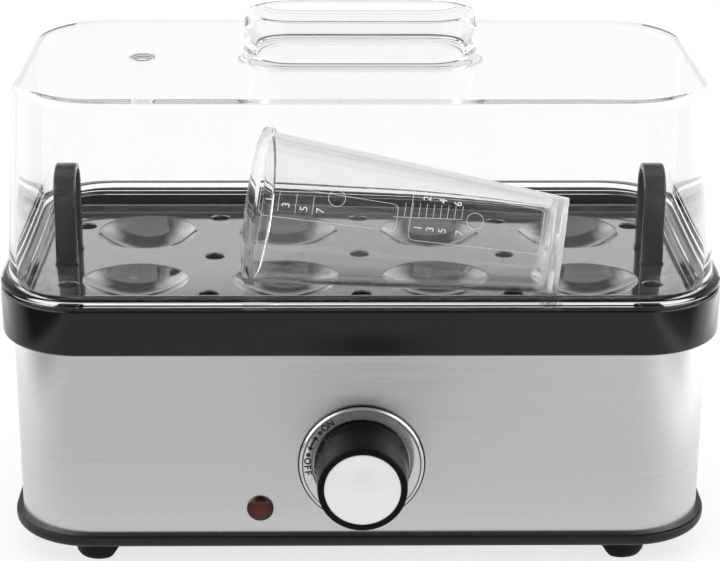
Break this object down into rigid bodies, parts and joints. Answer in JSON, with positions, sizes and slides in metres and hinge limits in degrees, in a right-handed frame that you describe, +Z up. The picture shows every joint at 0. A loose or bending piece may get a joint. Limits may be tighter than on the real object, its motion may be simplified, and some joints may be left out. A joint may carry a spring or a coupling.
{
  "type": "egg cooker",
  "caption": "Electric egg cooker with a steel body, black collar, front dial, lift-out egg tray with loops, lying measuring cup and a clear domed lid.",
  "frame": {"origin": "on the worktop, under the middle of the whole box, knob included", "axes": "+X to the viewer's right along the long side, +Y from the dial towards the back, +Z up"},
  "size_m": [0.2556, 0.1586, 0.1887],
  "materials": {
    "clear_plastic": "clear, polished",
    "clear_cup": "clear, moulded, white graduations",
    "gloss_black": "glossy moulded",
    "satin_black": "satin moulded",
    "brushed_steel": "horizontally brushed",
    "chrome_trim": "polished",
    "spun_aluminium": "spun",
    "pan_steel": "drawn and polished",
    "heater_sheath": "dark oxide",
    "aluminium": "as rolled",
    "silicone": "matte",
    "foot_rubber": "matte",
    "red_lens": "translucent",
    "lamp_glass": "clear",
    "zinc_steel": "zinc plated",
    "white_ceramic": "unglazed",
    "block_plastic": "natural nylon",
    "wire_brown": "cable insulation",
    "wire_blue": "cable insulation",
    "wire_green": "cable insulation"
  },
  "bodies": {
    "base": {"collar": "gloss_black", "housing": "brushed_steel", "base_plate": "satin_black", "foot_front_left": "foot_rubber", "foot_front_right": "foot_rubber", "foot_back_left": "foot_rubber", "foot_back_right": "foot_rubber", "base_screws": "zinc_steel", "heating_pan": "pan_steel", "pan_seal": "silicone", "pan_screws": "zinc_steel", "heat_spreader": "aluminium", "heating_element": "heater_sheath", "thermostat": "white_ceramic", "thermostat_clip": "zinc_steel", "thermal_fuse": "white_ceramic", "terminal_block": "block_plastic", "switch_body": "satin_black", "switch_nut": "zinc_steel", "dial_bezel": "chrome_trim", "indicator_lens": "red_lens", "indicator_lamp": "lamp_glass", "cord_gland": "satin_black", "gland_nut": "satin_black", "wire_live": "wire_brown", "wire_neutral": "wire_blue", "wire_earth": "wire_green"},
    "knob": {"knob": "gloss_black", "knob_disc": "spun_aluminium", "switch_shaft": "zinc_steel"},
    "tray": {"egg_tray": "gloss_black", "tray_handle_left": "gloss_black", "tray_handle_right": "gloss_black"},
    "cup": {"measuring_cup": "clear_cup", "piercing_pin": "zinc_steel"},
    "lid": {"lid": "clear_plastic"}
  },
  "joints": [
    {"name": "knob_turn", "type": "hinge", "parent": "base", "child": "knob", "pos_m": [0, -0.05725, 0.0415], "axis": [0, 1, 0], "range_deg": [0, 30]},
    {"name": "tray_lift", "type": "slide", "parent": "base", "child": "tray", "axis": [0, 0, 1], "range_m": [0, 0.06]},
    {"name": "cup_lift", "type": "slide", "parent": "tray", "child": "cup", "axis": [0, 0, 1], "range_m": [0, 0.06]},
    {"name": "lid_lift", "type": "slide", "parent": "cup", "child": "lid", "axis": [0, 0, 1], "range_m": [0, 0.08]}
  ]
}
